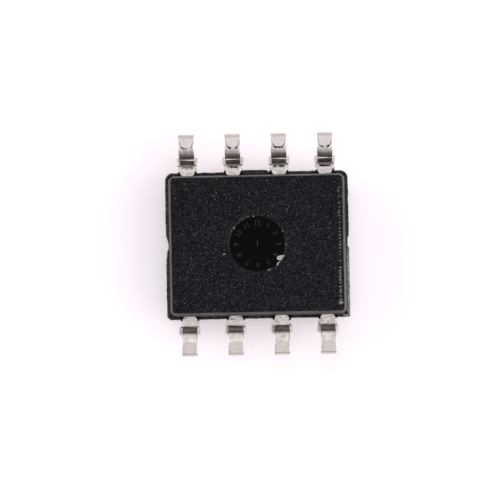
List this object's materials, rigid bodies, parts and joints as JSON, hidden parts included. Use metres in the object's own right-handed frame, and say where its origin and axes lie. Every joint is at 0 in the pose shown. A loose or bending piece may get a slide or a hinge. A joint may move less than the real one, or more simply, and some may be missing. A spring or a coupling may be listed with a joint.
{
  "type": "microcontroller",
  "caption": "Small-outline microcontroller package: black moulded body with gull-wing leads along both sides, and the leadframe, chip and bond wires inside, lying on its marked face.",
  "frame": {"origin": "middle of the marked face, on the surface the part lies on", "axes": "+Z out of the underside, towards the board when fitted; +Y across the two rows of leads, towards leads 1 to 4; X along the rows, with lead 1 at -X"},
  "size_m": [0.005, 0.006, 0.0016],
  "materials": {
    "mould_resin": "filled epoxy, fine matte as moulded, with a smoother ejector mark",
    "tin_plate": "matt tin plating on copper alloy, unpolished",
    "copper_alloy": "rolled copper alloy, spot plated with silver under the chip",
    "silver_glue": "silver-filled epoxy, cured, satin",
    "silicon": "polished silicon with a glassy passivation",
    "gold_wire": "drawn gold, bright"
  },
  "bodies": {
    "root": {"mould_body": "mould_resin", "lead_1": "tin_plate", "lead_2": "tin_plate", "lead_3": "tin_plate", "lead_4": "tin_plate", "lead_5": "tin_plate", "lead_6": "tin_plate", "lead_7": "tin_plate", "lead_8": "tin_plate", "die_paddle": "copper_alloy", "die_attach": "silver_glue", "silicon_die": "silicon", "bond_wire_1": "gold_wire", "bond_wire_2": "gold_wire", "bond_wire_3": "gold_wire", "bond_wire_4": "gold_wire", "bond_wire_5": "gold_wire", "bond_wire_6": "gold_wire", "bond_wire_7": "gold_wire", "bond_wire_8": "gold_wire"}
  },
  "joints": []
}
